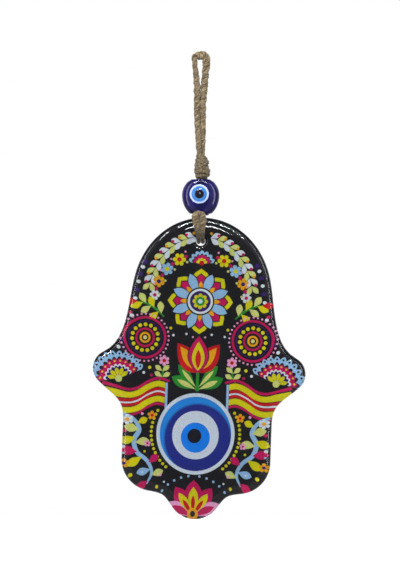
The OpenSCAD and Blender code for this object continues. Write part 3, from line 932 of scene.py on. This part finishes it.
    # Vines beside the eye, over a row of dots that follows its rim
    dots_round("yellow", 0, EYE_V, 21.7, 0.75, 15, 60, 140)
    stroke("sky", [[35.5, -97.0, 1.3], [30.5, -99.8, 1.8], [27.6, -104.8, 2.2], [30.0, -110.0, 2.4],
                   [28.4, -115.8, 2.2], [23.4, -119.8, 1.9], [20.8, -125.4, 1.5], [23.0, -131.0, 0.7]])
    for u, v, way, colour, length, width in (
            (28.6, -101.6, -64, "yellow", 5.4, 3.4), (27.6, -105.0, 76, "lime", 7.0, 4.2),
            (29.4, -108.6, 112, "yellow", 7.0, 4.0), (29.6, -111.2, -80, "lime", 7.2, 4.0),
            (28.2, -115.8, 84, "magenta", 7.6, 4.4), (25.8, -118.0, 124, "yellow", 8.6, 4.2),
            (22.6, -120.8, -52, "magenta", 6.2, 3.6), (21.2, -124.0, 108, "sky", 7.4, 3.8),
            (21.0, -127.0, -66, "lime", 6.4, 3.6), (22.4, -129.8, 122, "magenta", 6.2, 3.4)):
        petal(colour, u, v, way, length, width)
    daisy(33.2, -100.0, 2.6, 6, "white", "orange")
    daisy(21.6, -97.6, 2.2, 5, "orange", "red")
    daisy(33.8, -121.4, 2.2, 5, "orange", "purple")
    daisy(23.4, -111.4, 1.7, 5, "pink", "magenta")
    for u, v, r, colour in (
            (26.4, -97.0, 0.7, "pink"), (34.0, -105.6, 0.8, "magenta"), (34.4, -113.4, 0.8, "white"),
            (24.6, -115.4, 0.6, "yellow"), (30.8, -127.0, 0.9, "yellow"), (34.2, -116.6, 0.5, "sky"),
            (16.6, -126.6, 0.7, "pink"), (26.6, -133.4, 0.6, "white"), (18.0, -132.2, 0.7, "yellow"),
            (14.6, -130.0, 0.5, "white"), (25.4, -125.6, 0.5, "white"), (31.6, -103.0, 0.5, "yellow")):
        disc(colour, u, v, r)

    # Fan of petals at the fingertip
    for way, colour, length, width in (
            (0, "magenta", 17.4, 8.2), (33, "magenta", 16.4, 7.0), (63, "pink", 14.4, 5.4),
            (0, "yellow", 14.0, 4.8), (33, "yellow", 13.0, 3.9), (63, "magenta", 11.0, 2.8),
            (0, "red", 10.0, 2.0), (33, "red", 9.2, 2.0)):
        petal(colour, 0, -146.0, way, length, width, way > 0, fullest=0.62)
    disc("orange", 0, -144.8, 2.5, False)
    disc("black", 0, -144.8, 1.2, False)
    dots_round("sky", 0, -146.0, 19.4, 0.6, 6, 8, 62)


def print_piece():
    """The shapes as one layer of enamel, each spot of it in the colour that lies uppermost there."""
    design()
    edge = inset(OUTLINE, 1.2)
    hole = circle_at(*HOLE, HOLE_D / 2 + 1.2, 64)
    eye = [(u * EYE_R - PRINT_SHIFT, v * EYE_R * EYE_TALL + EYE_V) for u, v in circle_at(0, 0, 1, 72)]
    found, triangles = triangulated([edge, hole, eye] + [points for _, points in SHAPES])
    corners = np.array(triangles)
    middles = found[corners].mean(axis=1)
    keep = inside(middles, edge) & ~inside(middles, hole) & ~inside(middles, eye)
    names = list(COLOURS)
    uppermost = np.zeros(len(middles), int)
    for colour, points in SHAPES:
        low, high = np.min(points, axis=0), np.max(points, axis=0)
        near = np.nonzero(np.all((middles >= low) & (middles <= high), axis=1))[0]
        uppermost[near[inside(middles[near], points)]] = names.index(colour)
    corners, uppermost = corners[keep], uppermost[keep]
    used = sorted(set(corners.ravel()))
    new = {old: i for i, old in enumerate(used)}
    n = len(used)
    points = [hung(*found[i], BACK_T + ENAMEL_T) for i in used] + [hung(*found[i], BACK_T) for i in used]
    faces = [tuple(new[i] for i in t) for t in corners]
    sides = {}
    for t in faces:
        for a, b in zip(t, t[1:] + t[:1]):
            sides[(a, b)] = sides.get((a, b), 0) + 1
    rim = [(b, a, a + n, b + n) for a, b in sides if (b, a) not in sides]
    back = [tuple(i + n for i in reversed(t)) for t in faces]
    mesh = mesh_of("hand_print", points, faces + back + rim, smooth=False)
    for i, name in enumerate(names):
        mesh.materials.append(enamel_material("enamel_" + name, COLOURS[name])[0])
    for f, colour in zip(mesh.polygons, list(uppermost) + list(uppermost) + [0] * len(rim)):
        f.material_index = int(colour)
    return new_object("hand_print", mesh)


printed = print_piece()
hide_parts("enamel_ground")
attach(printed, "hand")


# Enamel eye and backing, which keep their solids

def navy_enamel():
    """Navy with a brighter crescent along its upper left: all that lies outside a smaller circle set off to
    the lower right."""
    off_x, off_z, inner_r, outer_r = 1.1, -2.4, 15.7, 17.2
    m, tree, shader, plain = enamel_material("enamel_navy", "222e88")
    x, _, z = hung(-PRINT_SHIFT, EYE_V, 0)
    away = node(tree, "ShaderNodeVectorMath", operation="SUBTRACT")
    away.inputs[1].default_value = ((x + off_x) * MM, 0, (z + off_z) * MM)
    tree.links.new(object_space(tree), away.inputs[0])
    flat = node(tree, "ShaderNodeVectorMath", operation="MULTIPLY")
    flat.inputs[1].default_value = (1, 0, 1 / EYE_TALL)
    tree.links.new(away.outputs[0], flat.inputs[0])
    reach = node(tree, "ShaderNodeVectorMath", operation="LENGTH")
    tree.links.new(flat.outputs[0], reach.inputs[0])
    share = node(tree, "ShaderNodeMapRange", interpolation_type="SMOOTHSTEP", Value=reach.outputs["Value"],
                 From_Min=inner_r * MM, From_Max=outer_r * MM).outputs["Result"]
    tree.links.new(mixed(tree, share, plain, linear("2488de")), shader.inputs["Base Color"])
    return m


def backing_material():
    m, tree, shader = material("dark_backing_glass", linear("1a1a1e"), 0.08, IOR=1.5)
    cloud = noise(tree, object_space(tree), Scale=45.0, Detail=3.0)
    colour = ramp(tree, cloud, [(0.35, linear("131316")), (0.7, linear("212127"))])
    tree.links.new(colour, shader.inputs["Base Color"])
    bump(tree, shader, cloud, 0.3, 0.0008)
    return m


kept = {
    "enamel_eye_rim": enamel_material("enamel_rim", "d5e2ec")[0],
    "enamel_eye_navy": navy_enamel(),
    "enamel_eye_white": enamel_material("enamel_eye_white", "dbe5ed")[0],
    "enamel_eye_iris": enamel_material("enamel_iris", "1281ed")[0],
    "enamel_eye_pupil": enamel_material("enamel_pupil", "17151f")[0],
    "backing_glass": backing_material(),
}
for cad_node, finish in kept.items():
    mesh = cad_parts[cad_node].data
    mesh.materials.clear()
    mesh.materials.append(finish)


# Light and floor

def camera_ray(tree):
    return tree.nodes.new("ShaderNodeLightPath").outputs["Is Camera Ray"]


# The light tent's level from behind the object, at 0, to behind the camera, at 1, as (place, red and green,
# blue)
TENT = [(0.0, 0.11, 0.12), (0.33, 0.11, 0.12), (0.42, 0.04, 0.045), (0.65, 0.05, 0.055), (0.68, 0.86, 0.96),
        (0.745, 0.86, 0.96), (0.775, 0.10, 0.12), (0.90, 0.09, 0.10), (0.965, 0.035, 0.04)]


def studio():
    """A white room to the camera, and to the object a tent with a bright ring round the lens."""
    world = bpy.data.worlds.new("studio")
    bpy.context.scene.world = world
    world.use_nodes = True
    tree = world.node_tree
    tree.nodes.clear()
    ways = tree.nodes.new("ShaderNodeTexCoord").outputs["Generated"]

    def along(axis):
        dot = node(tree, "ShaderNodeVectorMath", operation="DOT_PRODUCT")
        dot.inputs[1].default_value = axis
        tree.links.new(ways, dot.inputs[0])
        return dot.outputs["Value"]

    whole = node(tree, "ShaderNodeMath", operation="MULTIPLY_ADD")
    whole.inputs[1].default_value = 0.5
    whole.inputs[2].default_value = 0.5
    tree.links.new(along((0, -1, 0)), whole.inputs[0])
    level = ramp(tree, whole.outputs["Value"], [(at, (grey, grey, blue, 1)) for at, grey, blue in TENT])
    # The ring fades out overhead, where the strips hang
    fade = node(tree, "ShaderNodeMapRange", interpolation_type="SMOOTHSTEP", Value=along((0, 0, 1)),
                From_Min=0.42, From_Max=0.66, To_Min=5.4, To_Max=1.5).outputs["Result"]
    tent = node(tree, "ShaderNodeBackground", Color=level, Strength=fade)
    seen = node(tree, "ShaderNodeBackground", Color=(1, 1, 1, 1), Strength=1.0)
    mix = node(tree, "ShaderNodeMixShader", Fac=camera_ray(tree))
    tree.links.new(tent.outputs[0], mix.inputs[1])
    tree.links.new(seen.outputs[0], mix.inputs[2])
    node(tree, "ShaderNodeOutputWorld", Surface=mix.outputs[0])


AIM_Z = -0.14


def lamp(name, round_, tilt, size, power, far=1.2):
    """A soft lamp aimed at the ornament. round_ is in degrees clockwise from straight up as the camera sees
    it, and tilt is how far it stands off the camera's side. size is along the round and across it."""
    a, t = radians(round_), radians(tilt)
    away = Vector((sin(t) * sin(a), -cos(t), sin(t) * cos(a)))
    along = Vector((cos(a), 0, -sin(a)))
    data = bpy.data.lights.new(name, "AREA")
    data.shape = "RECTANGLE"
    data.size, data.size_y = size
    data.energy = power
    o = bpy.data.objects.new(name, data)
    bpy.context.scene.collection.objects.link(o)
    o.location = Vector((0, 0, AIM_Z)) + away * far
    o.rotation_euler = Matrix((along, away.cross(along), away)).transposed().to_euler()
    o.visible_camera = False


studio()
lamp("overhead_strip_left_end", -37, 54, (0.16, 0.13), 3.6)
lamp("overhead_strip_left", -24, 46, (0.30, 0.035), 4.4)
lamp("overhead_strip_inner_left", -13, 52, (0.17, 0.10), 3.0)
lamp("overhead_strip_inner_right", 9, 50, (0.15, 0.10), 2.6)
lamp("overhead_strip_right", 29, 46, (0.44, 0.035), 5.6)
lamp("lamp_by_the_lens", 4, 9, (0.15, 0.15), 2.2, 1.5)


def floor_piece():
    rings, n = 6, 96
    floor_z, floor_r, floor_y = -300.0, 850, 100
    points, faces = [(0, 0, floor_z)], []
    for r in range(1, rings + 1):
        points += [(x, y, floor_z) for x, y in circle_at(0, floor_y, floor_r * r / rings, n)]
    for i in range(n):
        j = (i + 1) % n
        faces.append((0, 1 + i, 1 + j))
        for r in range(rings - 1):
            a = 1 + r * n
            faces.append((a + i, a + n + i, a + n + j, a + j))
    mesh = mesh_of("floor", points, faces)
    m, tree, shader = material("pale_floor", (0.3, 0.3, 0.3, 1), 0.8, Emission_Color=(1, 1, 1, 1))
    tree.links.new(camera_ray(tree), shader.inputs["Emission Strength"])
    grain = noise(tree, object_space(tree), Scale=6.0, Detail=2.0)
    colour = ramp(tree, grain, [(0.3, (0.28, 0.28, 0.28, 1)), (0.7, (0.32, 0.32, 0.32, 1))])
    tree.links.new(colour, shader.inputs["Base Color"])
    mesh.materials.append(m)
    return new_object("floor", mesh)


floor_piece()

bpy.context.scene.view_settings.view_transform = "Standard"
